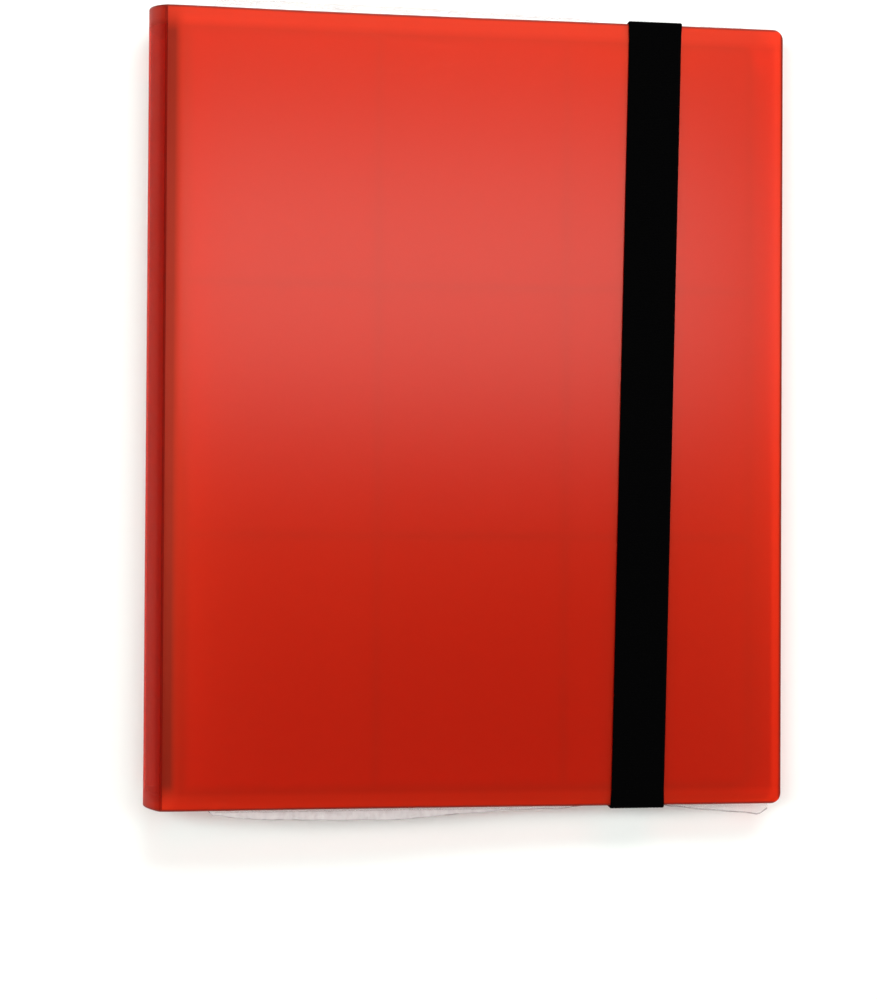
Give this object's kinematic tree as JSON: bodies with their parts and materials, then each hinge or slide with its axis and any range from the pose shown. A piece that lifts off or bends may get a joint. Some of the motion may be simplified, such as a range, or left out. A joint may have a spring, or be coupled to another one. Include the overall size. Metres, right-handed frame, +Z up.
{
  "type": "trading card binder",
  "caption": "Flexible binder of clear nine-pocket card leaves in a translucent plastic cover with a rounded spine, held shut by a wide elastic band.",
  "frame": {"origin": "on the table, under the middle of the closed binder lying on its back cover", "axes": "+Z up out of the front cover, +Y up the page, +X from the spine to the free edge"},
  "size_m": [0.25, 0.3142, 0.028],
  "materials": {
    "cover_plastic": "translucent red polypropylene sheet, satin",
    "binding_plastic": "frosted red polypropylene strip",
    "pocket_film": "clear, slightly hazy pocket film",
    "clear_film": "thin crinkly clear film",
    "elastic": "black woven elastic"
  },
  "bodies": {
    "back_cover": {"back_cover": "cover_plastic", "band_anchor_top": "cover_plastic", "band_anchor_bottom": "cover_plastic"},
    "spine": {"spine_panel": "cover_plastic", "binding_strip": "binding_plastic"},
    "front_cover": {"front_cover": "cover_plastic", "clear_film_sheet": "clear_film"},
    "leaf_01": {"pocket_leaf_01": "pocket_film"},
    "leaf_02": {"pocket_leaf_02": "pocket_film"},
    "leaf_03": {"pocket_leaf_03": "pocket_film"},
    "leaf_04": {"pocket_leaf_04": "pocket_film"},
    "leaf_05": {"pocket_leaf_05": "pocket_film"},
    "leaf_06": {"pocket_leaf_06": "pocket_film"},
    "leaf_07": {"pocket_leaf_07": "pocket_film"},
    "leaf_08": {"pocket_leaf_08": "pocket_film"},
    "leaf_09": {"pocket_leaf_09": "pocket_film"},
    "leaf_10": {"pocket_leaf_10": "pocket_film"},
    "leaf_11": {"pocket_leaf_11": "pocket_film"},
    "leaf_12": {"pocket_leaf_12": "pocket_film"},
    "leaf_13": {"pocket_leaf_13": "pocket_film"},
    "leaf_14": {"pocket_leaf_14": "pocket_film"},
    "leaf_15": {"pocket_leaf_15": "pocket_film"},
    "leaf_16": {"pocket_leaf_16": "pocket_film"},
    "leaf_17": {"pocket_leaf_17": "pocket_film"},
    "leaf_18": {"pocket_leaf_18": "pocket_film"},
    "leaf_19": {"pocket_leaf_19": "pocket_film"},
    "leaf_20": {"pocket_leaf_20": "pocket_film"},
    "band": {"elastic_band": "elastic"}
  },
  "joints": [
    {"name": "spine_hinge", "type": "hinge", "parent": "back_cover", "child": "spine", "pos_m": [-0.1175, 0, 0.0004], "axis": [0, -1, 0], "range_deg": [0, 90]},
    {"name": "front_cover_hinge", "type": "hinge", "parent": "spine", "child": "front_cover", "pos_m": [-0.1175, 0, 0.0276], "axis": [0, -1, 0], "range_deg": [0, 93.2]},
    {"name": "leaf_01_hinge", "type": "hinge", "parent": "spine", "child": "leaf_01", "pos_m": [-0.1162, 0, 0.02458], "axis": [0, -1, 0], "range_deg": [0, 89.9]},
    {"name": "leaf_02_hinge", "type": "hinge", "parent": "spine", "child": "leaf_02", "pos_m": [-0.1162, 0, 0.02346], "axis": [0, -1, 0], "range_deg": [0, 85.5]},
    {"name": "leaf_03_hinge", "type": "hinge", "parent": "spine", "child": "leaf_03", "pos_m": [-0.1162, 0, 0.02234], "axis": [0, -1, 0], "range_deg": [0, 82.3]},
    {"name": "leaf_04_hinge", "type": "hinge", "parent": "spine", "child": "leaf_04", "pos_m": [-0.1162, 0, 0.02122], "axis": [0, -1, 0], "range_deg": [0, 79.9]},
    {"name": "leaf_05_hinge", "type": "hinge", "parent": "spine", "child": "leaf_05", "pos_m": [-0.1162, 0, 0.0201], "axis": [0, -1, 0], "range_deg": [0, 78.1]},
    {"name": "leaf_06_hinge", "type": "hinge", "parent": "spine", "child": "leaf_06", "pos_m": [-0.1162, 0, 0.01898], "axis": [0, -1, 0], "range_deg": [0, 76.8]},
    {"name": "leaf_07_hinge", "type": "hinge", "parent": "spine", "child": "leaf_07", "pos_m": [-0.1162, 0, 0.01786], "axis": [0, -1, 0], "range_deg": [0, 75.8]},
    {"name": "leaf_08_hinge", "type": "hinge", "parent": "spine", "child": "leaf_08", "pos_m": [-0.1162, 0, 0.01674], "axis": [0, -1, 0], "range_deg": [0, 75]},
    {"name": "leaf_09_hinge", "type": "hinge", "parent": "spine", "child": "leaf_09", "pos_m": [-0.1162, 0, 0.01562], "axis": [0, -1, 0], "range_deg": [0, 74.3]},
    {"name": "leaf_10_hinge", "type": "hinge", "parent": "spine", "child": "leaf_10", "pos_m": [-0.1162, 0, 0.0145], "axis": [0, -1, 0], "range_deg": [0, 73.8]},
    {"name": "leaf_11_hinge", "type": "hinge", "parent": "spine", "child": "leaf_11", "pos_m": [-0.1162, 0, 0.01338], "axis": [0, -1, 0], "range_deg": [-71.1, 0]},
    {"name": "leaf_12_hinge", "type": "hinge", "parent": "spine", "child": "leaf_12", "pos_m": [-0.1162, 0, 0.01226], "axis": [0, -1, 0], "range_deg": [-71.6, 0]},
    {"name": "leaf_13_hinge", "type": "hinge", "parent": "spine", "child": "leaf_13", "pos_m": [-0.1162, 0, 0.01114], "axis": [0, -1, 0], "range_deg": [-72.2, 0]},
    {"name": "leaf_14_hinge", "type": "hinge", "parent": "spine", "child": "leaf_14", "pos_m": [-0.1162, 0, 0.01002], "axis": [0, -1, 0], "range_deg": [-73, 0]},
    {"name": "leaf_15_hinge", "type": "hinge", "parent": "spine", "child": "leaf_15", "pos_m": [-0.1162, 0, 0.0089], "axis": [0, -1, 0], "range_deg": [-74.1, 0]},
    {"name": "leaf_16_hinge", "type": "hinge", "parent": "spine", "child": "leaf_16", "pos_m": [-0.1162, 0, 0.00778], "axis": [0, -1, 0], "range_deg": [-75.4, 0]},
    {"name": "leaf_17_hinge", "type": "hinge", "parent": "spine", "child": "leaf_17", "pos_m": [-0.1162, 0, 0.00666], "axis": [0, -1, 0], "range_deg": [-77.2, 0]},
    {"name": "leaf_18_hinge", "type": "hinge", "parent": "spine", "child": "leaf_18", "pos_m": [-0.1162, 0, 0.00554], "axis": [0, -1, 0], "range_deg": [-79.6, 0]},
    {"name": "leaf_19_hinge", "type": "hinge", "parent": "spine", "child": "leaf_19", "pos_m": [-0.1162, 0, 0.00442], "axis": [0, -1, 0], "range_deg": [-82.8, 0]},
    {"name": "leaf_20_hinge", "type": "hinge", "parent": "spine", "child": "leaf_20", "pos_m": [-0.1162, 0, 0.0033], "axis": [0, -1, 0], "range_deg": [-87.1, 0]},
    {"name": "band_release", "type": "hinge", "parent": "back_cover", "child": "band", "pos_m": [0.07, 0, 0.0016], "axis": [0.0195, 0.9998, 0], "range_deg": [0, 180.1], "deforming": ["elastic_band"]}
  ],
  "couplings": [
    {"joint": "front_cover_hinge", "follows": "spine_hinge", "ratio": 1.0349},
    {"joint": "leaf_01_hinge", "follows": "spine_hinge", "ratio": 0.99676},
    {"joint": "leaf_02_hinge", "follows": "spine_hinge", "ratio": 0.94852},
    {"joint": "leaf_03_hinge", "follows": "spine_hinge", "ratio": 0.91288},
    {"joint": "leaf_04_hinge", "follows": "spine_hinge", "ratio": 0.88636},
    {"joint": "leaf_05_hinge", "follows": "spine_hinge", "ratio": 0.8665},
    {"joint": "leaf_06_hinge", "follows": "spine_hinge", "ratio": 0.85148},
    {"joint": "leaf_07_hinge", "follows": "spine_hinge", "ratio": 0.84001},
    {"joint": "leaf_08_hinge", "follows": "spine_hinge", "ratio": 0.83115},
    {"joint": "leaf_09_hinge", "follows": "spine_hinge", "ratio": 0.8242},
    {"joint": "leaf_10_hinge", "follows": "spine_hinge", "ratio": 0.81867},
    {"joint": "leaf_11_hinge", "follows": "spine_hinge", "ratio": -0.78858},
    {"joint": "leaf_12_hinge", "follows": "spine_hinge", "ratio": -0.79412},
    {"joint": "leaf_13_hinge", "follows": "spine_hinge", "ratio": -0.80107},
    {"joint": "leaf_14_hinge", "follows": "spine_hinge", "ratio": -0.80993},
    {"joint": "leaf_15_hinge", "follows": "spine_hinge", "ratio": -0.82139},
    {"joint": "leaf_16_hinge", "follows": "spine_hinge", "ratio": -0.83641},
    {"joint": "leaf_17_hinge", "follows": "spine_hinge", "ratio": -0.85628},
    {"joint": "leaf_18_hinge", "follows": "spine_hinge", "ratio": -0.88279},
    {"joint": "leaf_19_hinge", "follows": "spine_hinge", "ratio": -0.91843},
    {"joint": "leaf_20_hinge", "follows": "spine_hinge", "ratio": -0.96667},
    {"joint": "band_release", "follows": "spine_hinge", "ratio": 2}
  ]
}
